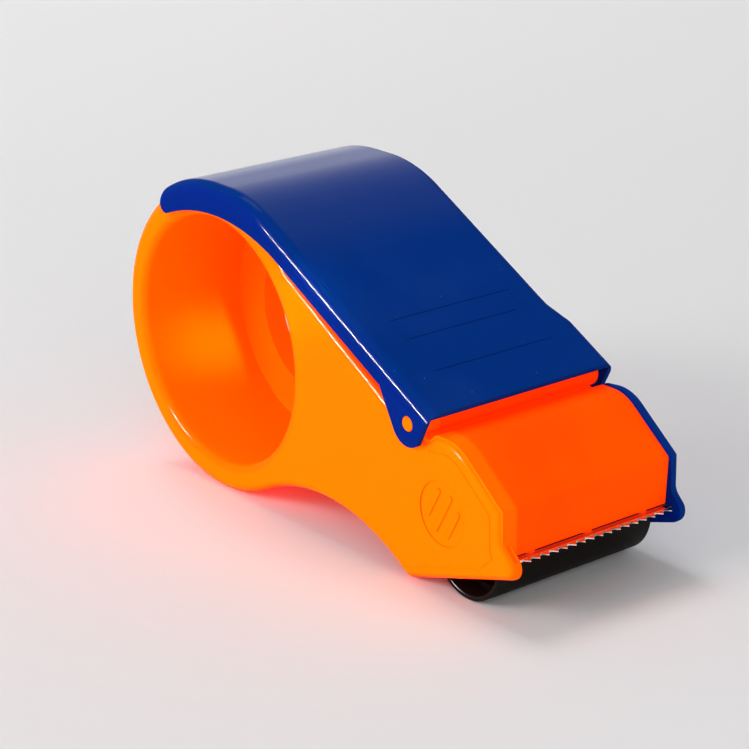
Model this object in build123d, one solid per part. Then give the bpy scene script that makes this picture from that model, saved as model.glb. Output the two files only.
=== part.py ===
from build123d import *
import math
import os

# Hand-held dispenser for 48 mm packing tape on a 76 mm core. Millimetres, +Z up.
# +X points to the cutting nose, -Y is the side with the hand opening, +Y the side plate.
# The origin is under the middle of the whole tool, which stands on its two rings and its roller.

# Driving dimensions
total_length = 165.0
body_width = 59.5
bore_r = 35.0
ring_r = 43.0
plate_thick = 3.2
edge_round = 2.8
wall = 2.0
side_plate_thick = 2.5
lip = 1.0
cover_thick = 1.5
cover_gap = 0.3
roller_r = 12.5

# Places that follow from them
near_face = -body_width / 2
far_face = body_width / 2
side_inner = far_face - side_plate_thick
wall_end = side_inner - 0.1
ring_x = ring_r - total_length / 2
ring_z = ring_r
front_x = total_length / 2


def from_ring(x, z):
    """A point given from the middle of the ring along X and from the ground along Z."""
    return (ring_x + x, z)


# Side view
pivot = from_ring(84.8, 44.0)
roller_axis = from_ring(100.0, roller_r)
nub = (front_x - 3.4, 15.9)
nub_r = 3.4
nose_front = front_x - 4.6
nose_top = 42.8
nose_angle = 38.3
crease_z = 30.0
arch_top = from_ring(47.0, 11.5)
belly = from_ring(81.5, 0.3)
belly_angle = 18.0
top_start = from_ring(30.0, 72.4)
top_end = from_ring(84.8, 40.6)
nose_back = from_ring(92.6, nose_top)
valley = from_ring(89.8, 40.4)

# Drum, shoulder and snap fingers
drum_wall = 1.8
shoulder_y = near_face + 33.0
shoulder_bore_r = 22.5
collar_length = 4.5
finger_half_angle = 14.0
dish_depth = 7.0
dish_floor = far_face - dish_depth
hub_r = 24.7

# Cover
cover_r = ring_r + 0.35 + cover_thick
cover_flat = from_ring(6.5, 0.0)[0]
cover_bend_r = 43.0
cover_angle = 27.7
cover_front = 93.0
cover_back = -21.8
fold_r = 4.0
ear_r = 6.1
flange_depth = 6.0
far_flange_depth = 5.0
far_flange_y = far_face - 0.4
rim_step = 0.3
step_x = from_ring(72.0, 0.0)[0]
pin_r = 2.0
pin_clearance = 0.08
pin_depth = 8.0
barrel_r = 4.0

# Roller and axle
roller_y = (near_face + 4.6, side_inner - 0.6)
tube_wall = 1.35
axle_r = 2.5
hub_length = 7.0
boss_r = 5.5
boss_end = near_face + 9.5
socket_depth = 3.5
clip_thick = 0.8

# Blade and its screws
blade_thick = 0.6
blade_z = 16.3
blade_back = front_x - 9.1
tooth_root = front_x - 2.9
tooth_tip = front_x - 1.1
tooth_pitch = 3.0
wall_bottom = 17.5
screw_x = front_x - 6.7
screw_r = 1.2
screw_head_r = 2.0
screw_head = 1.3
screw_length = 8.0
screw_ys = (-19.0, 0.0, 19.0)

orange = Color(1.0, 0.45, 0.0)
blue = Color(0.0, 0.12, 0.5)
black = Color(0.05, 0.05, 0.05)
steel = Color(0.7, 0.7, 0.72)


def slab(face, y0, y1):
    """A side-view face, drawn in X and Z, as a plate from y0 to y1."""
    return extrude(Plane.XZ.offset(-y0) * face, amount=y0 - y1)


def rod(centre, radius, y0, y1):
    """A round bar across the tool, centred on a side-view point."""
    return slab(Pos(*centre) * Circle(radius), y0, y1)


def turned(points, centre):
    """Points (radius, y) turned about the axis that crosses the side view at centre."""
    outline = make_face(Polyline(*[(r, y, 0) for r, y in points], close=True))
    return Pos(centre[0], 0, centre[1]) * revolve(outline, Axis.Y)


def near(shape, x, z, reach=0.6):
    """The side-view vertices within reach of a point."""
    return [v for v in shape.vertices() if math.hypot(v.X - x, v.Y - z) < reach]


def rounded(shape, corners):
    """The face with each corner (x, z, radius) rounded."""
    for x, z, radius in corners:
        shape = fillet(near(shape, x, z), radius)
    return shape


def nose_points(out):
    """Crease and top corner of the nose, moved outwards by out."""
    slope = math.radians(nose_angle)
    front = nose_front + out
    crease = crease_z + out / math.cos(slope) - out * math.tan(slope)
    top = nose_top + out
    corner = front - (top - crease) / math.tan(slope)
    return (front, crease), (corner, top)


def side_outline(out):
    """Outline of a side plate, with its nose standing out past the walls."""
    crease, corner = nose_points(out)
    flare = math.radians(45)
    nub_top = (nub[0] + nub_r * math.cos(flare), nub[1] + nub_r * math.sin(flare))
    flare_top = (crease[0], nub_top[1] + nub_top[0] - crease[0])
    down = math.radians(belly_angle)
    nub_low = (nub[0] + nub_r * math.sin(down), nub[1] - nub_r * math.cos(down))
    gap = (ring_x - arch_top[0]) ** 2 + (ring_z - arch_top[1]) ** 2 - ring_r**2
    arch_r = gap / (2 * arch_top[1])
    arch_z = arch_top[1] - arch_r
    reach = ring_r / (ring_r + arch_r)
    arch_start = (
        ring_x + (arch_top[0] - ring_x) * reach,
        ring_z + (arch_z - ring_z) * reach,
    )
    edges = [
        ThreePointArc(arch_start, arch_top, belly),
        Line(belly, nub_low),
        ThreePointArc(nub_low, (nub[0] + nub_r, nub[1]), nub_top),
        Polyline(nub_top, flare_top, crease, corner, nose_back),
        Polyline(nose_back, valley, top_end, top_start),
        Polyline(top_start, (ring_x, ring_z), arch_start),
    ]
    face = make_face(edges) + Pos(ring_x, ring_z) * Circle(ring_r)
    face = face + Pos(*pivot) * Circle(barrel_r)
    return rounded(
        face,
        [
            (*belly, 4.0),
            (*flare_top, 3.5),
            (*corner, 12.0),
            (*nose_back, 3.0),
            (*valley, 1.5),
        ],
    )


def offset_chain(points, inwards):
    """Points of an open chain moved to its right-hand side, with mitred corners."""
    moved = []
    for i, point in enumerate(points):
        sides = []
        for a, b in zip(points[max(i - 1, 0):], points[max(i - 1, 0) + 1:i + 2]):
            length = math.hypot(b[0] - a[0], b[1] - a[1])
            sides.append(((b[1] - a[1]) / length, (a[0] - b[0]) / length))
        nx = sum(s[0] for s in sides) / len(sides)
        nz = sum(s[1] for s in sides) / len(sides)
        scale = inwards / (nx * nx + nz * nz)
        moved.append((point[0] + nx * scale, point[1] + nz * scale))
    return moved


def wall_section():
    """Section of the nose: barrel web, trough, top, slope and front wall."""
    crease, corner = nose_points(0)
    outer = [(pivot[0] - 2.0, 43.4), valley, nose_back, corner, crease, (nose_front, wall_bottom)]
    inner = offset_chain(outer, wall)
    face = make_face(Polyline(*outer, *reversed(inner), close=True))
    return rounded(
        face,
        [
            (*corner, 12.0),
            (*inner[3], 10.0),
            (*crease, 0.8),
            (*nose_back, 3.0),
            (*inner[2], 1.2),
            (*valley, 1.5),
            (*inner[1], 3.4),
        ],
    )


def nose_walls():
    """The nose walls, whose front wall draws back from the side plate towards its bottom."""
    walls = slab(wall_section(), near_face + 1.0, wall_end)
    wedge = make_face(
        Polyline(
            (wall_end, crease_z - 1.0),
            (wall_end + 2.0, crease_z - 1.0),
            (wall_end + 2.0, 10.0),
            (wall_end - 1.3, 10.0),
            close=True,
        )
    )
    depth = 8.0
    cut = extrude(Plane.YZ.offset(nose_front - depth) * wedge, amount=2 * depth)
    return walls - cut


def blade_seat():
    """Ledge behind the front wall, with a boss for each blade screw."""
    ledge_z = blade_z + blade_thick
    seat = make_face(
        Polyline(
            (blade_back + 0.2, ledge_z),
            (nose_front - 1.2, ledge_z),
            (nose_front - 1.2, ledge_z + 3.0),
            (blade_back + 0.2, ledge_z + 1.8),
            close=True,
        )
    )
    shape = slab(seat, near_face + 1.0, wall_end - 1.4)
    for y in screw_ys:
        shape += Pos(screw_x, y, ledge_z) * Cylinder(
            2.0, 9.2, align=(Align.CENTER, Align.CENTER, Align.MIN)
        )
    return shape


def screw_holes():
    """Pilot holes for the blade screws, open at the bottom."""
    holes = []
    for y in screw_ys:
        holes.append(
            Pos(screw_x, y, blade_z)
            * Cylinder(screw_r, screw_length, align=(Align.CENTER, Align.CENTER, Align.MIN))
        )
    return holes


def drum():
    """Drum for the tape core, with the shoulder and the short collar behind it."""
    foot = near_face + 0.2
    points = [
        (bore_r, foot),
        (bore_r + drum_wall, foot),
        (bore_r + drum_wall, shoulder_y + 2.0),
        (shoulder_bore_r + 2.0, shoulder_y + 2.0),
        (shoulder_bore_r + 2.0, shoulder_y + 2.0 + collar_length),
        (shoulder_bore_r, shoulder_y + 2.0 + collar_length),
        (shoulder_bore_r, shoulder_y),
        (bore_r - 1.0, shoulder_y),
    ]
    return turned(points, (ring_x, ring_z))


def snap_fingers():
    """Four fingers that run from the collar through the hub of the side plate."""
    start = shoulder_y + 1.0
    end = dish_floor + 1.6
    points = [
        (shoulder_bore_r, start),
        (shoulder_bore_r + 1.7, start),
        (shoulder_bore_r + 1.7, dish_floor + 0.1),
        (shoulder_bore_r + 2.05, dish_floor + 0.5),
        (shoulder_bore_r + 2.05, end - 0.6),
        (shoulder_bore_r + 1.4, end),
        (shoulder_bore_r, end),
    ]
    tube = turned(points, (ring_x, ring_z))
    reach = 30.0
    half = reach * math.tan(math.radians(finger_half_angle))
    wedge = make_face(Polyline((0, 0), (reach, half), (reach, -half), close=True))
    fingers = None
    for quarter in range(4):
        sector = slab(Pos(ring_x, ring_z) * Rot(0, 0, 90 * quarter) * wedge, start, end)
        finger = tube & sector
        fingers = finger if fingers is None else fingers + finger
    return fingers


def hinge_barrel():
    """Round barrel across the tool that holds the two hinge pins."""
    return rod(pivot, barrel_r, near_face + 1.0, far_face - 0.2)


def emblem():
    """The cut for a shallow round recess with three plain raised bars in it."""
    centre = from_ring(96.0, 23.0)
    face = Pos(*centre) * Circle(8.6)
    for offset in (-4.2, 0.0, 4.2):
        length = 2 * math.sqrt(6.4**2 - offset**2)
        face -= Pos(*centre) * Rot(0, 0, 60) * Pos(0, offset) * SlotOverall(length, 1.5)
    depth = 0.35
    return slab(face, near_face - 1.0, near_face + depth)


def nose_border():
    """The cut that sets the rim of the nose a little below the middle of the plate."""
    step = 0.15
    margin = 3.7
    crease, corner = nose_points(-margin)
    low = math.radians(belly_angle)
    inner = Polyline(
        (from_ring(91.0, 0)[0], corner[1] - 1.0),
        (corner[0] - 2.5, corner[1]),
        (corner[0] + 1.5, corner[1] - 1.2),
        crease,
        (crease[0], nub[1] + 4.0),
        (crease[0] + 0.8, nub[1] + 1.0),
        (crease[0] - 4.0, crease[1] - 14.0 - 4.0 * math.tan(low)),
        (from_ring(76.0, 0)[0], 2.4),
    )
    outer = Polyline(
        (from_ring(76.0, 0)[0], 2.4),
        (from_ring(76.0, 0)[0], -5.0),
        (front_x + 5.0, -5.0),
        (front_x + 5.0, nose_top + 5.0),
        (from_ring(91.0, 0)[0], nose_top + 5.0),
        (from_ring(91.0, 0)[0], corner[1] - 1.0),
    )
    return slab(make_face([inner, outer]), near_face - 1.0, near_face + step)


def main_body():
    """Near plate, drum, fingers, nose and hinge barrel, moulded in one piece."""
    plate = slab(side_outline(0), near_face, near_face + plate_thick)
    rim = plate.faces().sort_by(Axis.Y)[0].outer_wire().edges()
    plate = fillet(rim, edge_round)
    body = plate + drum() + nose_walls() + hinge_barrel() + snap_fingers() + blade_seat()
    body += rod(roller_axis, boss_r, near_face + 1.0, boss_end)
    mouth = [(0, near_face - 1), (bore_r, near_face - 1), (bore_r, near_face + 0.2)]
    mouth += [(bore_r - 1.0, shoulder_y), (0, shoulder_y)]
    body -= turned(mouth, (ring_x, ring_z))
    body -= rod((ring_x, ring_z), shoulder_bore_r, shoulder_y - 1, far_face)
    edges = [
        e
        for e in body.edges().filter_by(GeomType.CIRCLE)
        if abs(e.center().Y - near_face) < 0.1 and abs(e.radius - bore_r) < 0.1
    ]
    body = fillet(edges, 2.0)
    body -= rod(roller_axis, axle_r, near_face + 1.6, boss_end + 1)
    body -= rod(pivot, pin_r, near_face - 3, near_face + pin_depth)
    body -= rod(pivot, pin_r, far_face - pin_depth, far_face + 3)
    for hole in screw_holes():
        body -= hole
    body -= emblem()
    body -= nose_border()
    pocket = Pos(nub[0] + 1.2, near_face + 2.3, nub[1] + 4.0) * Rot(0, -45, 0) * Box(1.6, 1.1, 4.6)
    return body - pocket


def tangent_point(start, centre, radius, side):
    """Where a line from start touches a circle; side is +1 or -1."""
    dx, dz = centre[0] - start[0], centre[1] - start[1]
    reach = math.hypot(dx, dz)
    turn = math.atan2(dz, dx) + side * math.asin(radius / reach)
    length = math.sqrt(reach**2 - radius**2)
    return (start[0] + length * math.cos(turn), start[1] + length * math.sin(turn))


def cover_points(inset, back_angle, front):
    """Arcs and lines of the cover's top from back to front, moved inwards by inset."""
    tilt = math.radians(cover_angle)
    top_z = ring_z + cover_r
    bend = (cover_flat, top_z - cover_bend_r)
    ring_arc = cover_r - inset
    bend_arc = cover_bend_r - inset

    def on_ring(degrees):
        turn = math.radians(degrees)
        return (ring_x + ring_arc * math.cos(turn), ring_z + ring_arc * math.sin(turn))

    def on_bend(turn):
        return (bend[0] + bend_arc * math.sin(turn), bend[1] + bend_arc * math.cos(turn))

    slope_start = on_bend(tilt)
    outer_x = bend[0] + cover_bend_r * math.sin(tilt)
    run = (from_ring(front, 0)[0] - outer_x) / math.cos(tilt)
    slope_end = (
        slope_start[0] + run * math.cos(tilt),
        slope_start[1] - run * math.sin(tilt),
    )
    ring_points = [on_ring(back_angle), on_ring((back_angle + 90) / 2), on_ring(90)]
    return ring_points + [on_bend(0), on_bend(tilt / 2), slope_start, slope_end]


def under_cover(inset, back_angle, front, floor):
    """Side-view face from the cover's top line down to a level floor."""
    back, back_mid, top, flat, bend, slope, end = cover_points(inset, back_angle, front)
    return make_face(
        [
            ThreePointArc(back, back_mid, top),
            Line(top, flat),
            ThreePointArc(flat, bend, slope),
            Polyline(slope, end, (end[0], floor), (back[0], floor), back),
        ]
    )


def cover_plan(inset, far_main, far_ear):
    """The cover seen from above: straight near side, and a far side that steps out at the ear."""
    near_side = near_face - cover_gap - cover_thick + inset
    shift = inset * 0.4
    points = [
        (-100.0, near_side),
        (100.0, near_side),
        (100.0, far_ear),
        (step_x + 3.5 + shift, far_ear),
        (step_x - 3.5 + shift, far_main),
        (-100.0, far_main),
    ]
    face = make_face(Polyline(*points, close=True))
    soft = 5.0
    return rounded(face, [(*points[3], soft), (*points[4], soft)])


def ear_shape(grow):
    """The ear round the hinge pin, with the neck that joins it to the flange."""
    radius = ear_r + grow
    tilt = math.radians(cover_angle)
    lip_out = cover_points(0, 100, cover_front)[6]
    lip_in = (
        lip_out[0] - cover_thick * math.sin(tilt),
        lip_out[1] - cover_thick * math.cos(tilt),
    )
    lip_in = (lip_in[0] + grow, lip_in[1] - grow)
    left = from_ring(73.5 - grow, 52.0 - grow)
    outline = [
        left,
        tangent_point(left, pivot, radius, -1),
        pivot,
        tangent_point(lip_in, pivot, radius, 1),
        lip_in,
        (lip_out[0] + grow, lip_out[1]),
        (lip_out[0] + grow, lip_out[1] + 12.0),
        (left[0], lip_out[1] + 12.0),
    ]
    return make_face(Polyline(*outline, close=True)) + Pos(*pivot) * Circle(radius)


def flange_band(depth, sag):
    """The strip under the cover's top line that its side flange fills."""
    tilt = math.radians(cover_angle)
    slope = cover_points(depth, 100, cover_front)[5]
    normal = (math.sin(tilt), math.cos(tilt))
    radius = 61.0
    level = ring_z + cover_r - depth - sag
    along = normal[0] * slope[0] + normal[1] * slope[1]
    centre_x = (along - normal[1] * (level - radius) - radius) / normal[0]
    low = Pos(centre_x, level - radius) * Circle(radius)
    big = make_face(Polyline((-95, 20), (95, 20), (95, 100), (-95, 100), close=True))
    touch = (centre_x + radius * normal[0], level - radius + radius * normal[1])
    reach = 90.0
    after = (touch[0] + reach * math.cos(tilt), touch[1] - reach * math.sin(tilt))
    before = (touch[0] - reach * math.cos(tilt), touch[1] + reach * math.sin(tilt))
    half = make_face(
        Polyline(
            before,
            after,
            (after[0] - 80 * normal[0], after[1] - 80 * normal[1]),
            (before[0] - 80 * normal[0], before[1] - 80 * normal[1]),
            close=True,
        )
    )
    right = make_face(
        Polyline((touch[0], 0), (95, 0), (95, 110), (touch[0], 110), close=True)
    )
    return big - (half & right) - (low - right)


def top_height(x):
    """Height of the cover's outer top line at a place along X."""
    tilt = math.radians(cover_angle)
    top_z = ring_z + cover_r
    if x < ring_x:
        return ring_z + math.sqrt(cover_r**2 - (x - ring_x) ** 2)
    if x < cover_flat:
        return top_z
    if x < cover_flat + cover_bend_r * math.sin(tilt):
        return top_z - cover_bend_r + math.sqrt(cover_bend_r**2 - (x - cover_flat) ** 2)
    start = cover_points(0, 100, cover_front)[5]
    return start[1] - (x - start[0]) * math.tan(tilt)


def folded(shape, radius, drop):
    """Rounds the long edges where the top of the cover meets its sides."""
    edges = []
    for edge in shape.edges():
        places = [edge.position_at(t) for t in (0.15, 0.5, 0.85)]
        on_top = all(abs(p.Z - drop(p.X)) < 0.05 for p in places)
        if on_top and abs(places[0].X - places[2].X) > 0.01:
            edges.append(edge)
    return fillet(edges, radius)


def past_ends():
    """Side view of what lies behind the cover's back edge and in front of its lip."""
    tilt = math.radians(cover_angle)
    normal = (math.sin(tilt), math.cos(tilt))
    lip_out = cover_points(0, 100, cover_front)[6]
    past_lip = make_face(
        Polyline(
            (lip_out[0] + 20 * normal[0], lip_out[1] + 20 * normal[1]),
            (lip_out[0] - 40 * normal[0], lip_out[1] - 40 * normal[1]),
            (lip_out[0] + 40, lip_out[1] - 40),
            (lip_out[0] + 40, lip_out[1] + 20),
            close=True,
        )
    )
    back = from_ring(cover_back, 0)[0]
    return past_lip + make_face(Polyline((-99, 0), (back, 0), (back, 120), (-99, 120), close=True))


def press_cover():
    """Curved cover with a fold along each side, two ears and an open front and back."""
    far_ear = far_face + cover_gap + cover_thick
    outer = slab(under_cover(0, 150, 110, 20), -40, 40)
    outer &= extrude(cover_plan(0, far_flange_y, far_ear), amount=120)
    outer = folded(outer, fold_r, top_height)
    inner = slab(under_cover(cover_thick, 175, 125, 10), -40, 40)
    inner &= extrude(
        cover_plan(cover_thick, far_flange_y - cover_thick, far_ear - cover_thick), amount=120
    )
    shell = outer - inner
    shell -= slab(past_ends(), -40, 40)
    big = make_face(Polyline((-95, 0), (95, 0), (95, 110), (-95, 110), close=True))
    near_keep = flange_band(flange_depth, 1.8) - past_ends()
    tip = [v for v in near_keep.vertices() if abs(v.X - from_ring(cover_back, 0)[0]) < 0.1]
    near_keep = fillet(min(tip, key=lambda v: v.Y), 2.5) + ear_shape(0)
    shell -= slab(big - near_keep, -40, near_face - cover_gap + 0.01)
    over_ring = Pos(ring_x, ring_z) * Circle(cover_r - cover_thick + rim_step)
    far_keep = flange_band(far_flange_depth, 0) - over_ring + ear_shape(0)
    shell -= slab(big - far_keep, far_flange_y - cover_thick - rim_step, 40)
    shell -= rod(pivot, pin_r + pin_clearance, -40, 40)
    return shell


def side_plate():
    """Removable plate: dished spigot for the core, hub, axle socket and locating tabs."""
    centre = (ring_x, ring_z)
    plate = slab(side_outline(lip), side_inner, far_face)
    rim = plate.faces().sort_by(Axis.Y)[-1].outer_wire().edges()
    plate = fillet(rim, 1.2)
    spigot = [
        (hub_r, side_inner + 1.0),
        (bore_r + drum_wall, side_inner + 1.0),
        (bore_r + drum_wall - 0.3, dish_floor - 1.6),
        (bore_r + drum_wall - 0.9, dish_floor - 2.0),
        (hub_r + 1.8, dish_floor - 2.0),
        (hub_r + 1.6, dish_floor - 5.0),
        (hub_r, dish_floor - 5.0),
    ]
    plate += turned(spigot, centre)
    dish = [(0, far_face + 1), (bore_r, far_face + 1), (bore_r, far_face)]
    dish += [(bore_r - 0.7, dish_floor), (0, dish_floor)]
    plate -= turned(dish, centre)
    plate -= rod(centre, hub_r, near_face, far_face + 1)
    edges = [
        e
        for e in plate.edges().filter_by(GeomType.CIRCLE)
        if abs(e.center().Y - far_face) < 0.1 and abs(e.radius - bore_r) < 0.1
    ]
    plate = fillet(edges, 1.6)
    plate += rod(roller_axis, 5.0, side_inner - socket_depth, side_inner + 0.5)
    plate -= rod(roller_axis, axle_r + 0.1, near_face, far_face - 1.2)
    plate += slab(tabs(), side_inner - 4.5, side_inner + 0.5)
    return plate - slab(ear_shape(0.7), side_inner - 10, far_face + 5)


def tabs():
    """Side view of the tabs that sit just inside the nose walls."""
    crease, corner = nose_points(-wall - 0.3)
    slope = Pos((crease[0] + corner[0]) / 2, (crease[1] + corner[1]) / 2)
    slope *= Rot(0, 0, -nose_angle) * Pos(0, -0.9) * Rectangle(7.0, 1.8)
    top = Pos(from_ring(97.0, 0)[0], corner[1] - 0.9) * Rectangle(3.5, 1.8)
    front = Pos(crease[0] - 0.9, crease[1] - 5.5) * Rectangle(1.8, 5.0)
    return slope + top + front


def hinge_pin(outer, inner):
    """Pin between two places across the tool, with a small chamfer at each end."""
    pin = rod(pivot, pin_r, outer, inner)
    return chamfer(pin.edges().filter_by(GeomType.CIRCLE), 0.2)


def roller_tube():
    start, end = roller_y
    tube = rod(roller_axis, roller_r, start, end) - rod(
        roller_axis, roller_r - tube_wall, start - 1, end + 1
    )
    return chamfer(tube.edges().filter_by(GeomType.CIRCLE), 0.25)


def roller_hub(start):
    """Wheel-shaped bearing hub with a rim, a web and a sleeve on the axle."""
    bore = roller_r - tube_wall
    end = start + hub_length
    points = [
        (axle_r + 0.06, start),
        (axle_r + 2.0, start),
        (axle_r + 2.2, start + 2.6),
        (bore - 1.5, start + 2.6),
        (bore - 1.3, start + 0.6),
        (bore, start + 0.6),
        (bore, end - 0.6),
        (bore - 1.3, end - 0.6),
        (bore - 1.5, end - 2.6),
        (axle_r + 2.2, end - 2.6),
        (axle_r + 2.0, end),
        (axle_r + 0.06, end),
    ]
    return turned(points, roller_axis)


def axle_span():
    """Where the axle starts, where its groove is, and where it ends."""
    return near_face + 1.6, roller_y[1] - 6.0, far_face - 1.6


def roller_axle():
    start, groove, end = axle_span()
    axle = chamfer(rod(roller_axis, axle_r, start, end).edges().filter_by(GeomType.CIRCLE), 0.4)
    ring = rod(roller_axis, axle_r + 1, groove, groove + clip_thick)
    return axle - (ring - rod(roller_axis, axle_r - 0.5, groove, groove + clip_thick))


def axle_clip():
    """Open spring clip in the axle's groove."""
    groove = axle_span()[1]
    inside = axle_r - 0.5
    face = Pos(*roller_axis) * (Circle(axle_r + 2.2) - Circle(inside))
    face -= Pos(*roller_axis) * Pos(0, -4) * Rectangle(2 * inside, 8)
    for turn in (50, 180, 310):
        face -= Pos(*roller_axis) * Rot(0, 0, turn + 90) * Pos(axle_r + 0.6, 0) * Circle(0.9)
    return slab(face, groove, groove + clip_thick)


def cutter_blade():
    """Toothed strip under the front wall."""
    start = near_face + plate_thick + 0.1
    end = wall_end - 0.3
    points = [(blade_back, start), (tooth_root, start)]
    count = int((end - start) / tooth_pitch)
    first = end - count * tooth_pitch
    points.append((tooth_root, first))
    for i in range(count):
        y = first + i * tooth_pitch
        points += [(tooth_tip, y + tooth_pitch / 2), (tooth_root, y + tooth_pitch)]
    points.append((blade_back, end))
    blade = extrude(Pos(0, 0, blade_z) * make_face(Polyline(*points, close=True)), blade_thick)
    for y in screw_ys:
        blade -= Pos(screw_x, y, blade_z) * Cylinder(screw_r + 0.15, 4)
    return blade


def blade_screws():
    """Three pan-head screws, driven upwards."""
    screws = []
    for y in screw_ys:
        head = Pos(screw_x, y, blade_z - screw_head) * Cylinder(
            screw_head_r, screw_head, align=(Align.CENTER, Align.CENTER, Align.MIN)
        )
        head = fillet(head.edges().sort_by(Axis.Z)[0], 0.5)
        for turn in (0, 90):
            head -= Pos(screw_x, y, blade_z - screw_head) * Rot(0, 0, turn) * Box(2.2, 0.5, 1.2)
        shank = Pos(screw_x, y, blade_z) * Cylinder(
            screw_r, screw_length - 0.8, align=(Align.CENTER, Align.CENTER, Align.MIN)
        )
        screws.append(head + chamfer(shank.edges().sort_by(Axis.Z)[-1], 0.5))
    return Compound(screws)


def main():
    outer_pin = far_face + cover_gap + cover_thick
    parts = {
        "main_body": (main_body(), orange),
        "side_plate": (side_plate(), blue),
        "press_cover": (press_cover(), blue),
        "hinge_pin_near": (hinge_pin(-outer_pin, near_face + pin_depth), orange),
        "hinge_pin_far": (hinge_pin(far_face - pin_depth, outer_pin), orange),
        "cutter_blade": (cutter_blade(), steel),
        "blade_screws": (blade_screws(), steel),
        "roller_tube": (roller_tube(), black),
        "roller_hub_near": (roller_hub(boss_end + 0.4), black),
        "roller_hub_far": (roller_hub(axle_span()[1] - 0.4 - hub_length), black),
        "roller_axle": (roller_axle(), steel),
        "axle_clip": (axle_clip(), steel),
    }
    os.makedirs("parts", exist_ok=True)
    for name, (shape, colour) in parts.items():
        shape.color = colour
        export_step(shape, f"parts/{name}.step")


if __name__ == "__main__":
    main()
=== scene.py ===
import math
import bmesh
import bpy
from mathutils import Matrix, Vector
from mathutils.bvhtree import BVHTree


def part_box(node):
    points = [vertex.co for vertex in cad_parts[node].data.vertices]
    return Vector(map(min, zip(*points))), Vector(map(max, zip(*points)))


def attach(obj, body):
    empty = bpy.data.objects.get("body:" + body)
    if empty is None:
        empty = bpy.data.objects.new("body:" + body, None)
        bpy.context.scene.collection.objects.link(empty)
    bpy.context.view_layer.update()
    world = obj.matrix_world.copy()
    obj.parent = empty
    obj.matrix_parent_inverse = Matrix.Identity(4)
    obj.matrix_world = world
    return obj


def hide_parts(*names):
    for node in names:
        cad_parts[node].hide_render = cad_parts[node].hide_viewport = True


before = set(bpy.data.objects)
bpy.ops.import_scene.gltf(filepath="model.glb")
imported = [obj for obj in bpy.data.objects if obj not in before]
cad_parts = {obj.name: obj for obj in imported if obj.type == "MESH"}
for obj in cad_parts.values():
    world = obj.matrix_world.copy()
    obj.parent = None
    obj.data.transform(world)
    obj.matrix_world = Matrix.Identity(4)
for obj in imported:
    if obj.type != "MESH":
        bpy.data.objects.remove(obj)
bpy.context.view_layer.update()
mm = 0.001
print("frame loaded:", len(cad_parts), "CAD nodes")


class Wire:
    def __init__(self, graph, socket):
        self.graph = graph
        self.socket = socket

    def other(self, name):  # another output of the same node
        return Wire(self.graph, self.socket.node.outputs[name])

    def join(self, operation, first, second):
        return self.graph.add("ShaderNodeMath", {"operation": operation}, {0: first, 1: second})

    def __add__(self, value):
        return self.join("ADD", self, value)

    def __radd__(self, value):
        return self.join("ADD", value, self)

    def __sub__(self, value):
        return self.join("SUBTRACT", self, value)

    def __rsub__(self, value):
        return self.join("SUBTRACT", value, self)

    def __mul__(self, value):
        return self.join("MULTIPLY", self, value)

    def __rmul__(self, value):
        return self.join("MULTIPLY", value, self)

    def __truediv__(self, value):
        return self.join("DIVIDE", self, value)

    def __rtruediv__(self, value):
        return self.join("DIVIDE", value, self)

    def __lt__(self, value):
        return self.join("LESS_THAN", self, value)

    def __gt__(self, value):
        return self.join("GREATER_THAN", self, value)


class Graph:
    def __init__(self, tree):
        self.tree = tree

    def add(self, kind, settings=None, values=None, out=0):
        node = self.tree.nodes.new(kind)
        for name, value in (settings or {}).items():
            setattr(node, name, value)
        for name, value in (values or {}).items():
            self.feed(node.inputs[name], value)
        return Wire(self, node.outputs[out]) if len(node.outputs) else None

    def feed(self, socket, value):
        many = value if isinstance(value, list) else [value]
        for one in many:
            if isinstance(one, Wire):
                self.tree.links.new(one.socket, socket)
            else:
                socket.default_value = one


def paintOf(name):
    material = bpy.data.materials.new(name)
    material.use_nodes = True
    material.node_tree.nodes.clear()
    graph = Graph(material.node_tree)
    graph.material = material
    graph.place = graph.add("ShaderNodeTexCoord", out="Object")
    return graph


def blendColour(paint, amount, first, second):
    settings = {"data_type": "RGBA", "clamp_factor": True}
    return paint.add("ShaderNodeMix", settings, {0: amount, 6: first, 7: second}, out=2)


def noise(paint, scale, detail=2.0, stretch=None, turn=(0, 0, 0)):
    place = paint.place
    if stretch:
        place = paint.add("ShaderNodeMapping", {}, {"Vector": place, "Rotation": turn, "Scale": stretch})
    values = {"Vector": place, "Scale": scale, "Detail": detail}
    return paint.add("ShaderNodeTexNoise", {}, values, out="Fac")


def ramped(paint, value, low, high):  # 0 below low, 1 above high
    values = {"Value": value, "From Min": low, "From Max": high}
    return paint.add("ShaderNodeMapRange", {"interpolation_type": "SMOOTHSTEP"}, values)


def specks(paint, scale, size, share):  # small round spots on a share of the cells
    values = {"Vector": paint.place, "Scale": scale, "Randomness": 1.0}
    distance = paint.add("ShaderNodeTexVoronoi", {}, values, out="Distance")
    pick = paint.add("ShaderNodeSeparateColor", {}, {"Color": distance.other("Color")}, out="Red")
    grow = pick.other("Green")
    return (distance < (size * scale * (grow * 0.7 + 0.3))) * (pick < share)


def bumped(paint, height, depth, strength=1.0, normal=None):
    values = {"Height": height, "Distance": depth, "Strength": strength}
    if normal:
        values["Normal"] = normal
    return paint.add("ShaderNodeBump", {}, values)


def partOf(paint, vector, letter):
    return paint.add("ShaderNodeSeparateXYZ", {}, {"Vector": vector}, out=letter)


def absolute(paint, value):
    return paint.add("ShaderNodeMath", {"operation": "ABSOLUTE"}, {0: value})


def sideways(paint):  # 1 on faces that look across the tool, 0 on faces that run across it
    return absolute(paint, partOf(paint, paint.place.other("Normal"), "Y"))


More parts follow.
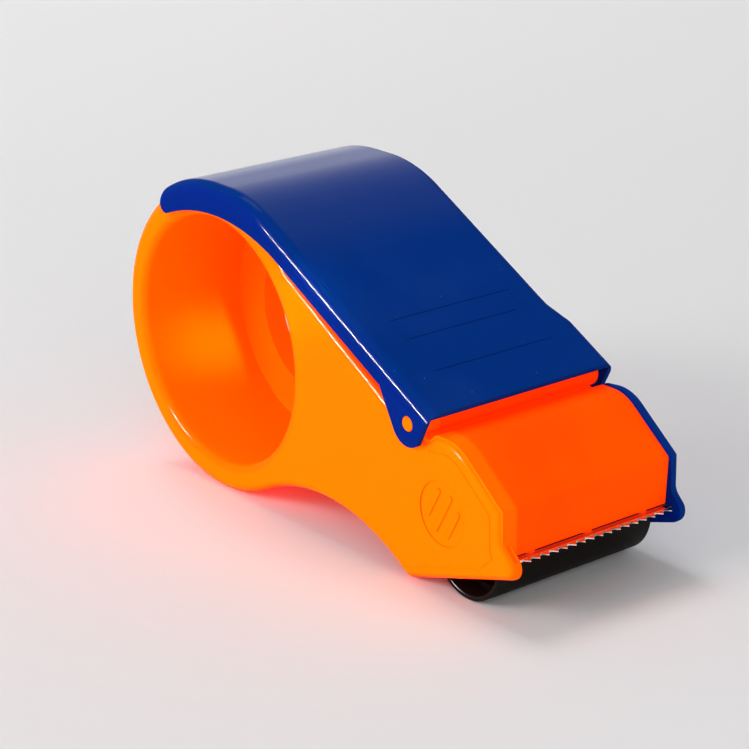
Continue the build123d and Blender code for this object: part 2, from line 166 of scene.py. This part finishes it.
def glancing(paint, low, high, faceOn, edgeOn):  # clear gloss that grows where the surface is seen edge on
    edge = ramped(paint, paint.add("ShaderNodeLayerWeight", {}, {"Blend": 0.5}, out="Facing"), low, high)
    return faceOn + edge * (edgeOn - faceOn)


def roundedEdges(paint, radius):  # softens sharp edges in the shading only
    return paint.add("ShaderNodeBevel", {"samples": 6}, {"Radius": radius})


def closePaint(paint, values):
    surface = paint.add("ShaderNodeBsdfPrincipled", {}, values)
    paint.add("ShaderNodeOutputMaterial", {}, {"Surface": surface})
    return paint.material


def dusty(paint, look, colour):
    dust = specks(paint, look["dustScale"], look["dustSize"], look["dustShare"])
    return blendColour(paint, dust * look["dustStrength"], colour, look["dust"])


def mouldedFinish(paint, look, cloud):  # the roughness and bump of a moulded plastic
    fine = noise(paint, look["fineScale"], 1.0)
    streaks = noise(paint, 1.0, 1.0, look["scuffStretch"], look["scuffTurn"])
    scuffs = ramped(paint, streaks, *look["scuffRange"])
    dull = ramped(paint, cloud, *look["dullRange"])
    rough = (look["roughness"] + fine * look["fineRough"] + scuffs * look["scuffRough"]
             + dull * look["dullRough"])
    edges = roundedEdges(paint, look["edgeRound"])
    wave = bumped(paint, noise(paint, look["waveScale"]), look["waveDepth"], look["waveStrength"], edges)
    grain = bumped(paint, fine - scuffs * 0.2, look["grainDepth"], look["grainStrength"], wave)
    return {"Roughness": rough, "Normal": grain}


plasticIor = 1.49


def closePlastic(paint, look, values):
    shared = {"IOR": plasticIor, "Specular IOR Level": 0.0, "Coat Roughness": look["coatRoughness"]}
    return closePaint(paint, {**shared, **values})


orangePlastic = {
    "flat": (1.0, 0.255, 0.0, 1.0),  # painted light: faces that look across the tool are painted yellower, as if lit, than the walls, which are painted redder, as if in shade
    # painted light: colour of the lit band along the nose's near edge
    "litEdgeBand": (1.0, 0.16, 0.0, 1.0),
    "wall": (1.0, 0.094, 0.0, 1.0),
    "deep": (1.0, 0.075, 0.0, 1.0),
    # painted light: the drum's inside, painted yellower as if more brightly lit
    "drum": (1.0, 0.20, 0.0, 1.0),
    "dust": (1.0, 0.42, 0.12, 1.0),
    # painted glow: a constant red emission that makes the orange brighter than its lamps light it
    "glow": (1.0, 0.012, 0.0, 1.0), "glowStrength": 0.65,
    "flatLitRange": (0.5, 0.99), "drumReach": 38 * mm, "drumFade": 2 * mm,
    "noseRange": (36 * mm, 32 * mm), "nearEdgeRange": (4.8 * mm, 6.2 * mm),
    "cloudScale": 28.0, "cloudRange": (0.35, 0.65), "dullRange": (0.4, 0.7), "dullRough": 0.05,
    "dustScale": 160.0, "dustSize": 0.16 * mm, "dustShare": 0.12, "dustStrength": 0.6,
    "roughness": 0.18, "fineScale": 1400.0, "fineRough": 0.05,
    "scuffStretch": (240, 240, 3200), "scuffTurn": (0.3, 0.5, 0.2),
    "scuffRange": (0.72, 0.8), "scuffRough": 0.1,
    "edgeRound": 0.35 * mm, "waveScale": 55.0, "waveDepth": 0.6 * mm, "waveStrength": 0.03,
    "grainDepth": 0.02 * mm, "grainStrength": 0.35,
    "coatRange": (0.5, 0.8), "coatFaceOn": 0.04, "coatEdgeOn": 0.3, "coatRoughness": 0.06,
}


def nearNoseEdge(paint):  # 1 on the nose's near edge; painted light: the band is painted between the lit and the shaded colour so that its rounding looks wider
    look = orangePlastic
    low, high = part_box("main_body")
    along = partOf(paint, paint.place, "X")
    onNose = ramped(paint, along, *(high.x - reach for reach in look["noseRange"]))
    behindEdge = ramped(paint, along.other("Y"), *(low.y + depth for depth in look["nearEdgeRange"]))
    return onNose * (1.0 - behindEdge)


def inDrum(paint):  # 1 in the drum; painted light: the drum's inside is painted yellower than the walls, as if more brightly lit
    look = orangePlastic
    low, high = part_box("main_body")
    ringRadius = high.z / 2
    centre = (low.x + ringRadius, 0.0, ringRadius)
    flat = paint.add("ShaderNodeVectorMath", {"operation": "MULTIPLY"}, {0: paint.place, 1: (1.0, 0.0, 1.0)})
    away = paint.add("ShaderNodeVectorMath", {"operation": "DISTANCE"}, {0: flat, 1: centre}, out="Value")
    return 1.0 - ramped(paint, away, look["drumReach"] - look["drumFade"], look["drumReach"])


def makeOrange():
    look = orangePlastic
    paint = paintOf("moulded orange plastic")
    cloud = noise(paint, look["cloudScale"], 3.0)
    colour = blendColour(paint, ramped(paint, cloud, *look["cloudRange"]), look["deep"], look["wall"])
    # painted light: a lit band along the nose's near edge
    colour = blendColour(paint, nearNoseEdge(paint), colour, look["litEdgeBand"])
    # painted light: faces that look across the tool take the yellower, lit colour
    colour = blendColour(paint, ramped(paint, sideways(paint), *look["flatLitRange"]), colour, look["flat"])
    # painted light: the drum's inside takes the yellower colour
    colour = blendColour(paint, inDrum(paint), colour, look["drum"])
    return closePlastic(paint, look, {
        "Base Color": dusty(paint, look, colour),
        # painted glow: constant emission on a part that is no lamp
        "Emission Color": look["glow"],
        "Emission Strength": look["glowStrength"],
        "Coat Weight": glancing(paint, *look["coatRange"], look["coatFaceOn"], look["coatEdgeOn"]),
        **mouldedFinish(paint, look, cloud),
    })


bluePlastic = {
    "base": (0.001, 0.030, 0.215, 1.0),
    "haze": (0.003, 0.034, 0.225, 1.0),
    # painted light: faces that look across the tool are painted a more saturated blue than the top, matched
    # to how they are lit
    "side": (0.001, 0.021, 0.26, 1.0),
    "dust": (0.35, 0.45, 0.8, 1.0),
    "sideLitRange": (0.5, 0.98),
    "cloudScale": 34.0, "cloudRange": (0.45, 0.7), "dullRange": (0.5, 0.75), "dullRough": 0.1,
    "dustScale": 190.0, "dustSize": 0.28 * mm, "dustShare": 0.22, "dustStrength": 0.75,
    "fineDustScale": 420.0, "fineDustSize": 0.14 * mm, "fineDustShare": 0.1, "fineDustStrength": 0.4,
    "roughness": 0.16, "fineScale": 1600.0, "fineRough": 0.04,
    "scuffStretch": (240, 3600, 240), "scuffTurn": (0.2, 0.1, 0.9),
    "scuffRange": (0.74, 0.8), "scuffRough": 0.1,
    "edgeRound": 0.35 * mm, "waveScale": 48.0, "waveDepth": 0.8 * mm, "waveStrength": 0.03,
    "grainDepth": 0.02 * mm, "grainStrength": 0.3,
    "coatBase": 0.035, "coatBack": 0.95, "coatBackRange": (28 * mm, 70 * mm), "coatTurnRange": (0.0, 0.3),
    "coatRoughness": 0.06,
}


def backOfCover(paint):  # 1 at the back of the cover, where the clear gloss is strong, fading forwards
    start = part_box("press_cover")[0].x
    span = (start + distance for distance in bluePlastic["coatBackRange"])
    return 1.0 - ramped(paint, partOf(paint, paint.place, "X"), *span)


def makeBlue():
    look = bluePlastic
    paint = paintOf("moulded blue plastic")
    cloud = noise(paint, look["cloudScale"], 3.0)
    colour = blendColour(paint, ramped(paint, cloud, *look["cloudRange"]), look["base"], look["haze"])
    # painted light: faces that look across the tool take the lit side colour
    colour = blendColour(paint, ramped(paint, sideways(paint), *look["sideLitRange"]), colour, look["side"])
    dust = specks(paint, look["dustScale"], look["dustSize"], look["dustShare"])
    fineDust = specks(paint, look["fineDustScale"], look["fineDustSize"], look["fineDustShare"])
    dusted = dust * look["dustStrength"] + fineDust * look["fineDustStrength"]
    runsAcross = 1.0 - ramped(paint, sideways(paint), *look["coatTurnRange"])
    return closePlastic(paint, look, {
        "Base Color": blendColour(paint, dusted, colour, look["dust"]),
        "Coat Weight": look["coatBase"] + backOfCover(paint) * runsAcross * look["coatBack"],
        **mouldedFinish(paint, look, cloud),
    })


blackPlastic = {
    "base": (0.0055, 0.004, 0.003, 1.0),
    "worn": (0.013, 0.010, 0.008, 1.0),
    "dust": (0.2, 0.19, 0.18, 1.0),
    "drawStretch": (900, 14, 900), "wornScale": 60.0, "wornRange": (0.5, 0.8),
    "dustScale": 260.0, "dustSize": 0.12 * mm, "dustShare": 0.2, "dustStrength": 0.5,
    "roughness": 0.34, "grainDepth": 0.04 * mm, "grainStrength": 0.3,
    "coat": 0.2, "coatRoughness": 0.25,
}


def makeBlack():
    look = blackPlastic
    paint = paintOf("extruded black plastic")
    draw = noise(paint, 1.0, 2.0, look["drawStretch"])  # faint lines along the tube
    worn = ramped(paint, noise(paint, look["wornScale"], 4.0), *look["wornRange"])
    colour = blendColour(paint, worn * 0.5 + draw * 0.3, look["base"], look["worn"])
    return closePlastic(paint, look, {
        "Base Color": dusty(paint, look, colour),
        "Roughness": look["roughness"] + draw * 0.12 + worn * 0.1,
        "Normal": bumped(paint, draw, look["grainDepth"], look["grainStrength"]),
        "Coat Weight": look["coat"],
    })


bladeSteel = {"face": (0.60, 0.60, 0.50, 1.0), "cut": (0.95, 0.94, 0.93, 1.0), "roughness": 0.08,
              # painted shade: dark colour for the blade where it lies under the wall
              "wallShade": (0.09, 0.018, 0.008, 1.0), "standOut": 3.5 * mm,
              "lineStretch": (4200, 40, 4200), "cutRange": (0.1, 0.5), "wallShadeRange": (-0.5 * mm, 0.15 * mm)}


def makeBladeSteel():
    look = bladeSteel
    paint = paintOf("polished blade steel")
    facing = paint.add("ShaderNodeNewGeometry", {}, {}, out="True Normal")
    flank = 1.0 - absolute(paint, partOf(paint, facing, "Z"))
    cut = ramped(paint, flank, *look["cutRange"])
    lines = noise(paint, 1.0, 2.0, look["lineStretch"])
    colour = blendColour(paint, cut, look["face"], look["cut"])
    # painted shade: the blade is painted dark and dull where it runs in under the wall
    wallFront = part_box("cutter_blade")[1].x - look["standOut"]
    span = (wallFront + distance for distance in look["wallShadeRange"])
    wallShade = 1.0 - ramped(paint, partOf(paint, paint.place, "X"), *span)
    colour = blendColour(paint, wallShade, colour, look["wallShade"])
    rough = look["roughness"] + lines * 0.06 + cut * 0.3 + wallShade * 0.5
    return closePaint(paint, {
        "Base Color": colour,
        "Metallic": (1.0 - cut * 0.25) * (1.0 - wallShade * 0.8),
        "Roughness": rough,
    })


zincSteel = {"bright": (0.66, 0.66, 0.64, 1.0), "dull": (0.45, 0.45, 0.43, 1.0), "roughness": 0.28,
             "cloudScale": 420.0, "cloudRange": (0.35, 0.7), "grainDepth": 0.02 * mm}


def makeZinc():
    look = zincSteel
    paint = paintOf("zinc plated steel")
    cloud = noise(paint, look["cloudScale"], 4.0)
    colour = blendColour(paint, ramped(paint, cloud, *look["cloudRange"]), look["bright"], look["dull"])
    rough = look["roughness"] + cloud * 0.2
    grain = bumped(paint, cloud, look["grainDepth"], 0.3)
    return closePaint(paint, {
        "Base Color": colour,
        "Metallic": 1.0,
        "Roughness": rough,
        "Normal": grain,
    })


paperFloor = {"base": (0.780, 0.775, 0.775, 1.0), "shade": (0.760, 0.755, 0.755, 1.0),
              # painted light: the paper is painted lighter towards the back
              "far": (0.86, 0.845, 0.845, 1.0), "farRange": (0.15, 0.9), "farDirection": (-0.78, 0.62, 0.0),
              "roughness": 0.62, "cloudScale": 3.0, "dullScale": 20.0,
              "grainScale": 900.0, "grainDepth": 0.02 * mm}


def makeFloorPaint():
    look = paperFloor
    paint = paintOf("pale studio paper")
    colour = blendColour(paint, noise(paint, look["cloudScale"]), look["base"], look["shade"])
    # painted light: the paper grows lighter towards the back
    away = paint.add("ShaderNodeVectorMath", {"operation": "DOT_PRODUCT"}, {
        0: paint.place, 1: look["farDirection"]}, out="Value")
    colour = blendColour(paint, ramped(paint, away, *look["farRange"]), colour, look["far"])
    grain = bumped(paint, noise(paint, look["grainScale"]), look["grainDepth"], 0.3)
    return closePaint(paint, {
        "Base Color": colour,
        "Roughness": look["roughness"] + noise(paint, look["dullScale"]) * 0.05,
        "Normal": grain,
        "Specular IOR Level": 0.0,
    })


paints = {
    "orange_plastic": makeOrange(),
    "blue_plastic": makeBlue(),
    "black_plastic": makeBlack(),
    "blade_steel": makeBladeSteel(),
    "zinc_steel": makeZinc(),
}
print("materials made:", len(paints))


def linked(name, data):
    thing = bpy.data.objects.new(name, data)
    bpy.context.scene.collection.objects.link(thing)
    return thing


def meshOf(bm, name):
    mesh = bpy.data.meshes.new(name)
    bm.to_mesh(mesh)
    bm.free()
    return mesh


def addPiece(name, mesh, slotName, body, nodes):
    piece = linked(name, mesh)
    mesh.materials.clear()
    mesh.materials.append(paints[slotName])
    if nodes:
        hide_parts(*nodes)
    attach(piece, body)
    return piece


def shadeBySharpness(bm, degrees):
    for face in bm.faces:
        face.smooth = True
    for edge in bm.edges:
        if len(edge.link_faces) == 2:
            edge.smooth = edge.calc_face_angle(0.0) < math.radians(degrees)


moulded = {"weld": 0.002 * mm, "sharpAngle": 30, "normalWeight": 60}


def mergedCopy(node, name, slotName, body):
    bm = bmesh.new()
    bm.from_mesh(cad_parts[node].data)
    bmesh.ops.remove_doubles(bm, verts=bm.verts, dist=moulded["weld"])
    shadeBySharpness(bm, moulded["sharpAngle"])
    piece = addPiece(name, meshOf(bm, name), slotName, body, [node])
    evenOut = piece.modifiers.new("even normals", "WEIGHTED_NORMAL")
    evenOut.keep_sharp = True
    evenOut.weight = moulded["normalWeight"]
    return piece


def growTree(name, inputs):
    tree = bpy.data.node_groups.new(name, "GeometryNodeTree")
    tree.is_modifier = True
    for label, kind in inputs:
        tree.interface.new_socket(name=label, in_out="INPUT", socket_type=kind)
    tree.interface.new_socket(name="Geometry", in_out="OUTPUT", socket_type="NodeSocketGeometry")
    graph = Graph(tree)
    source = tree.nodes.new("NodeGroupInput")
    graph.inputs = {s.name: Wire(graph, s) for s in source.outputs if s.name}
    return graph


def closeTree(graph, shape, material):
    real = graph.add("GeometryNodeRealizeInstances", {}, {"Geometry": shape})
    shaded = graph.add("GeometryNodeSetMaterial", {}, {"Geometry": real, "Material": material})
    graph.add("NodeGroupOutput", {}, {"Geometry": shaded})


def meshFromTree(graph, values):
    tree = graph.tree
    holder = linked("holder", bpy.data.meshes.new("holder"))
    modifier = holder.modifiers.new("nodes", "NODES")
    modifier.node_group = tree
    sockets = {s.name: s.identifier for s in tree.interface.items_tree if s.in_out == "INPUT"}
    for name, value in values.items():
        modifier[sockets[name]] = value
    bpy.context.view_layer.update()
    mesh = bpy.data.meshes.new_from_object(holder.evaluated_get(bpy.context.evaluated_depsgraph_get()))
    holder.modifiers.remove(modifier)
    bpy.data.objects.remove(holder)
    return mesh


def combineXYZ(graph, x=0.0, y=0.0, z=0.0):
    return graph.add("ShaderNodeCombineXYZ", {}, {"X": x, "Y": y, "Z": z})


meshWeld = 0.001 * mm


def tidyMesh(mesh, degrees):
    bm = bmesh.new()
    bm.from_mesh(mesh)
    bmesh.ops.remove_doubles(bm, verts=bm.verts, dist=meshWeld)
    bmesh.ops.recalc_face_normals(bm, faces=bm.faces)
    shadeBySharpness(bm, degrees)
    bm.to_mesh(mesh)
    bm.free()


mergedCopy("main_body", "orange_body", "orange_plastic", "body")
mergedCopy("side_plate", "blue_side_plate", "blue_plastic", "side_plate")
coverPiece = mergedCopy("press_cover", "blue_press_cover", "blue_plastic", "press_cover")
mergedCopy("hinge_pin_near", "near_hinge_pin", "orange_plastic", "body")
mergedCopy("hinge_pin_far", "far_hinge_pin", "orange_plastic", "body")
mergedCopy("roller_hub_near", "near_roller_hub", "black_plastic", "roller")
mergedCopy("roller_hub_far", "far_roller_hub", "black_plastic", "roller")
mergedCopy("roller_axle", "steel_axle", "zinc_steel", "body")
mergedCopy("axle_clip", "spring_clip", "zinc_steel", "body")
print("moulded pieces copied and shaded")

rollerTube = {"wall": 1.35 * mm, "edgeRound": 0.35 * mm, "around": 144, "sharpAngle": 40}


def makeRollerTube():
    size = rollerTube
    low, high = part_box("roller_tube")
    graph = growTree("roller tube", [
        ("Radius", "NodeSocketFloat"), ("Wall", "NodeSocketFloat"), ("Length", "NodeSocketFloat"),
        ("Edge Round", "NodeSocketFloat"), ("Around", "NodeSocketInt"), ("Centre", "NodeSocketVector"),
    ])
    given = graph.inputs
    path = graph.add("GeometryNodeCurvePrimitiveCircle", {}, {
        "Resolution": given["Around"], "Radius": given["Radius"] - given["Wall"] * 0.5})
    section = graph.add("GeometryNodeCurvePrimitiveQuadrilateral", {}, {
        "Width": given["Wall"], "Height": given["Length"]})
    section = graph.add("GeometryNodeFilletCurve", {"mode": "POLY"}, {
        "Curve": section, "Radius": given["Edge Round"], "Count": 4})
    tube = graph.add("GeometryNodeCurveToMesh", {}, {"Curve": path, "Profile Curve": section})
    tube = graph.add("GeometryNodeTransform", {}, {
        "Geometry": tube, "Rotation": (math.pi / 2, 0, 0), "Translation": given["Centre"]})
    closeTree(graph, tube, paints["black_plastic"])
    mesh = meshFromTree(graph, {
        "Radius": (high.x - low.x) / 2, "Wall": size["wall"], "Length": high.y - low.y,
        "Edge Round": size["edgeRound"], "Around": size["around"], "Centre": tuple((low + high) / 2)})
    tidyMesh(mesh, size["sharpAngle"])
    addPiece("black_roller", mesh, "black_plastic", "roller", ["roller_tube"])


bladeTeeth = {"pitch": 3.0 * mm, "depth": 1.8 * mm, "tipThickness": 0.3 * mm, "bevel": 0.04 * mm,
              "sharpAngle": 20}


def makeBladeMesh():
    size = bladeTeeth
    low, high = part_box("cutter_blade")
    graph = growTree("toothed strip", [
        ("Count", "NodeSocketInt"), ("Pitch", "NodeSocketFloat"), ("Depth", "NodeSocketFloat"),
        ("Thickness", "NodeSocketFloat"), ("Tip Thickness", "NodeSocketFloat"),
        ("Strip Width", "NodeSocketFloat"), ("Strip Length", "NodeSocketFloat"),
        ("Corner", "NodeSocketVector"),
    ])
    given = graph.inputs
    half = given["Pitch"] * 0.5
    strip = graph.add("GeometryNodeMeshCube", {}, {
        "Size": combineXYZ(graph, given["Strip Width"], given["Strip Length"], given["Thickness"])})
    strip = graph.add("GeometryNodeTransform", {}, {
        "Geometry": strip,
        "Translation": combineXYZ(graph, given["Strip Width"] * -0.5, given["Strip Length"] * 0.5)})
    prism = graph.add("GeometryNodeMeshCylinder", {}, {"Vertices": 3, "Radius": 1.0, "Depth": 1.0})
    prism = graph.add("GeometryNodeTransform", {}, {
        "Geometry": prism,
        "Translation": combineXYZ(graph, given["Depth"] / 3.0, 0.0,
                                  (given["Thickness"] - given["Tip Thickness"]) * 0.5),
        "Scale": combineXYZ(graph, given["Depth"] / 1.5, half / math.sin(math.radians(60)),
                            given["Tip Thickness"])})
    toothStart = given["Strip Length"] - given["Pitch"] * given["Count"] + half
    row = graph.add("GeometryNodeMeshLine", {}, {
        "Count": given["Count"],
        "Start Location": combineXYZ(graph, 0.0, toothStart),
        "Offset": combineXYZ(graph, 0.0, given["Pitch"])})
    teeth = graph.add("GeometryNodeInstanceOnPoints", {}, {"Points": row, "Instance": prism})
    whole = graph.add("GeometryNodeJoinGeometry", {}, {"Geometry": [strip, teeth]})
    whole = graph.add("GeometryNodeTransform", {}, {"Geometry": whole, "Translation": given["Corner"]})
    closeTree(graph, whole, paints["blade_steel"])
    length = high.y - low.y
    root = high.x - size["depth"]
    return meshFromTree(graph, {
        "Count": int(length / size["pitch"]), "Pitch": size["pitch"], "Depth": size["depth"],
        "Thickness": high.z - low.z, "Tip Thickness": size["tipThickness"],
        "Strip Width": root - low.x, "Strip Length": length,
        "Corner": (root, low.y, (low.z + high.z) / 2)})


def makeToothedBlade():
    mesh = makeBladeMesh()
    tidyMesh(mesh, bladeTeeth["sharpAngle"])
    piece = addPiece("toothed_blade", mesh, "blade_steel", "body", ["cutter_blade"])
    soften = piece.modifiers.new("filed edges", "BEVEL")
    soften.width = bladeTeeth["bevel"]
    soften.segments = 1
    soften.limit_method = "ANGLE"


screwSet = {"headRadius": 2.0 * mm, "headHeight": 1.3 * mm, "shankRadius": 1.15 * mm,
            "slotWidth": 0.5 * mm, "spacing": 19.0 * mm, "count": 3, "sharpAngle": 35}


def makeScrews():
    size = screwSet
    low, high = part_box("blade_screws")
    graph = growTree("pan head screws", [
        ("Count", "NodeSocketInt"), ("Spacing", "NodeSocketFloat"), ("Head Radius", "NodeSocketFloat"),
        ("Head Height", "NodeSocketFloat"), ("Shank Radius", "NodeSocketFloat"),
        ("Shank Length", "NodeSocketFloat"), ("Slot Width", "NodeSocketFloat"),
        ("First", "NodeSocketVector"),
    ])
    given = graph.inputs
    dome = graph.add("GeometryNodeMeshUVSphere", {}, {"Segments": 32, "Rings": 16, "Radius": 1.0})
    dome = graph.add("GeometryNodeTransform", {}, {
        "Geometry": dome,
        "Scale": combineXYZ(graph, given["Head Radius"], given["Head Radius"], given["Head Height"])})
    bar = graph.add("GeometryNodeMeshCube", {}, {
        "Size": combineXYZ(graph, given["Head Radius"] * 1.1, given["Slot Width"], given["Head Height"])})
    bar = graph.add("GeometryNodeTransform", {}, {
        "Geometry": bar, "Translation": combineXYZ(graph, 0.0, 0.0, given["Head Height"] * -1.0)})
    across = graph.add("GeometryNodeTransform", {}, {"Geometry": bar, "Rotation": (0, 0, math.pi / 2)})
    above = graph.add("GeometryNodeMeshCube", {}, {"Size": (1.0, 1.0, 1.0)})
    above = graph.add("GeometryNodeTransform", {}, {"Geometry": above, "Translation": (0, 0, 0.5)})
    head = graph.add("GeometryNodeMeshBoolean", {"operation": "DIFFERENCE"}, {
        "Mesh 1": dome, "Mesh 2": [bar, across, above]}, out="Mesh")
    shank = graph.add("GeometryNodeMeshCylinder", {}, {
        "Vertices": 24, "Radius": given["Shank Radius"], "Depth": given["Shank Length"]})
    shank = graph.add("GeometryNodeTransform", {}, {
        "Geometry": shank, "Translation": combineXYZ(graph, 0.0, 0.0, given["Shank Length"] * 0.5)})
    screw = graph.add("GeometryNodeJoinGeometry", {}, {"Geometry": [head, shank]})
    row = graph.add("GeometryNodeMeshLine", {}, {
        "Count": given["Count"], "Start Location": given["First"],
        "Offset": combineXYZ(graph, 0.0, given["Spacing"])})
    screws = graph.add("GeometryNodeInstanceOnPoints", {}, {"Points": row, "Instance": screw})
    closeTree(graph, screws, paints["zinc_steel"])
    headTop = low.z + size["headHeight"]
    mesh = meshFromTree(graph, {
        "Count": size["count"], "Spacing": size["spacing"], "Head Radius": size["headRadius"],
        "Head Height": size["headHeight"], "Shank Radius": size["shankRadius"],
        "Shank Length": high.z - headTop, "Slot Width": size["slotWidth"],
        "First": ((low.x + high.x) / 2, low.y + size["headRadius"], headTop)})
    tidyMesh(mesh, size["sharpAngle"])
    addPiece("pan_head_screws", mesh, "zinc_steel", "body", ["blade_screws"])


makeRollerTube()
makeToothedBlade()
makeScrews()
print("roller, blade and screws grown")

coverFrame = {"near": -20.0 * mm, "far": 19.9 * mm, "back": 24.6 * mm, "front": 41.6 * mm,
              "divider": 31.0 * mm, "height": 0.1 * mm, "width": 0.5 * mm, "step": 1.5 * mm,
              "dividerShort": 3 * mm, "sink": 0.05 * mm, "topShare": 0.35, "castFrom": 0.2, "sharpAngle": 60}


def ridgeAlong(bm, surface, start, end):  # a low ridge that follows the cover between two places
    size = coverFrame
    count = max(2, int((end - start).length / size["step"]))
    side = Vector((start.y - end.y, end.x - start.x, 0)).normalized() * size["width"] / 2
    rows = []
    for i in range(count + 1):
        place = start.lerp(end, i / count)
        above = Vector((place.x, place.y, size["castFrom"]))
        hit, normal, _, _ = surface.ray_cast(above, Vector((0, 0, -1)))
        sunk = hit - normal * size["sink"]
        fade = min(i, count - i, 1)
        top = hit + normal * size["height"] * fade
        crown = side * size["topShare"]
        rows.append([bm.verts.new(p) for p in (sunk - side, top - crown, top + crown, sunk + side)])
    for a, b in zip(rows, rows[1:]):
        for k in range(4):
            bm.faces.new((a[k], a[(k + 1) % 4], b[(k + 1) % 4], b[k]))
    bm.faces.new(rows[0])
    bm.faces.new(list(reversed(rows[-1])))


def makeCoverFrame():
    size = coverFrame
    surface = BVHTree.FromObject(coverPiece, bpy.context.evaluated_depsgraph_get())
    bm = bmesh.new()
    corners = [(size["back"], size["near"]), (size["back"], size["far"]),
               (size["front"], size["far"]), (size["front"], size["near"])]
    for a, b in zip(corners, corners[1:] + corners[:1]):
        ridgeAlong(bm, surface, Vector((*a, 0)), Vector((*b, 0)))
    ridgeAlong(bm, surface, Vector((size["divider"], size["near"], 0)),
               Vector((size["divider"], size["far"] - size["dividerShort"], 0)))
    bmesh.ops.recalc_face_normals(bm, faces=bm.faces)
    shadeBySharpness(bm, size["sharpAngle"])
    addPiece("cover_frame", meshOf(bm, "cover_frame"), "blue_plastic", "press_cover", [])


makeCoverFrame()
print("cover frame laid on")

studio = {
    "floorSize": 8.0, "aim": (0.0, 0.0, 0.03),
    "keyPlace": (-1.1, 0.1, 2.2), "keySize": (0.8, 0.8), "keyPower": 18.0,
    "sidePlace": (-0.5, -1.75, 1.1), "sideSize": (1.0, 0.8), "sidePower": 17.0,
    "glintPlace": (-0.6, -1.78, 0.80), "glintSize": (0.6, 0.3), "glintPower": 380.0,
    "frontPlace": (1.7, -0.9, 1.1), "frontSize": (0.9, 0.7), "frontPower": 6.0,
    "spotPlace": (0.41, -0.22, 0.27), "spotAim": (-0.0712, -0.006, 0.0295), "spotAngle": 2.0,
    "spotScale": (2.2, 0.8, 1.0), "spotSize": 0.01, "spotPower": 16.0,
    "skyLow": (0.86, 0.86, 0.875, 1.0), "skyHigh": (0.36, 0.36, 0.37, 1.0), "skyRange": (0.15, 0.75),
    "skyStrength": 1.0,
}


def makeFloor():
    bm = bmesh.new()
    bmesh.ops.create_grid(bm, x_segments=24, y_segments=24, size=studio["floorSize"] / 2)
    mesh = meshOf(bm, "floor")
    floor = linked("floor", mesh)
    mesh.materials.append(makeFloorPaint())


def addLight(name, lamp, place, aim):
    light = linked(name, lamp)
    light.location = place
    light.rotation_euler = (Vector(aim) - Vector(place)).to_track_quat("-Z", "Y").to_euler()
    return light


def addPanel(name):
    lamp = bpy.data.lights.new(name + " light", "AREA")
    lamp.shape = "RECTANGLE"
    lamp.size, lamp.size_y = studio[name + "Size"]
    lamp.energy = studio[name + "Power"]
    return addLight(name + " light", lamp, studio[name + "Place"], studio["aim"])


def addSpot():  # a narrow light through the drum's mouth onto its inner wall
    lamp = bpy.data.lights.new("drum spot", "SPOT")
    lamp.energy = studio["spotPower"]
    lamp.spot_size = math.radians(studio["spotAngle"])
    lamp.spot_blend = 1.0
    lamp.shadow_soft_size = studio["spotSize"]
    light = addLight("drum spot", lamp, studio["spotPlace"], studio["spotAim"])
    light.scale = studio["spotScale"]
    light.visible_glossy = False


def makeLights():
    for name in ("key", "side", "front", "glint"):
        light = addPanel(name)
        light.visible_diffuse = name != "glint"  # that one only draws the bright lines on the rounded edges
    addSpot()
    world = bpy.data.worlds.new("studio")
    world.use_nodes = True
    bpy.context.scene.world = world
    world.node_tree.nodes.clear()
    graph = Graph(world.node_tree)
    direction = graph.add("ShaderNodeTexCoord", out="Generated")
    height = graph.add("ShaderNodeSeparateXYZ", {}, {"Vector": direction}, out="Z")
    sky = graph.add("ShaderNodeMix", {"data_type": "RGBA"}, {
        0: ramped(graph, height, *studio["skyRange"]), 6: studio["skyLow"], 7: studio["skyHigh"]}, out=2)
    light = graph.add("ShaderNodeBackground", {}, {"Color": sky, "Strength": studio["skyStrength"]})
    graph.add("ShaderNodeOutputWorld", {}, {"Surface": light})


cameraView = {"place": (0.4761, -0.38225, 0.2571), "azimuth": 51.66, "elevation": 19.8,
              "roll": -0.81, "lens": 115.87, "sensor": 36.0}


def makeCamera():
    view = cameraView
    turn, rise, roll = (math.radians(view[k]) for k in ("azimuth", "elevation", "roll"))
    back = Vector((math.sin(turn) * math.cos(rise), -math.cos(turn) * math.cos(rise), math.sin(rise)))
    right = Vector((math.cos(turn), math.sin(turn), 0))
    up = back.cross(right)
    rolledRight = right * math.cos(roll) + up * math.sin(roll)
    rolledUp = up * math.cos(roll) - right * math.sin(roll)
    lens = bpy.data.cameras.new("camera")
    lens.lens = view["lens"]
    lens.sensor_width = view["sensor"]
    lens.clip_start = 0.01
    camera = linked("camera", lens)
    turned = Matrix((rolledRight, rolledUp, back)).transposed().to_4x4()
    camera.matrix_world = Matrix.Translation(view["place"]) @ turned
    bpy.context.scene.camera = camera


makeFloor()
makeLights()
makeCamera()
bpy.context.scene.view_settings.view_transform = "Standard"
print("studio set")
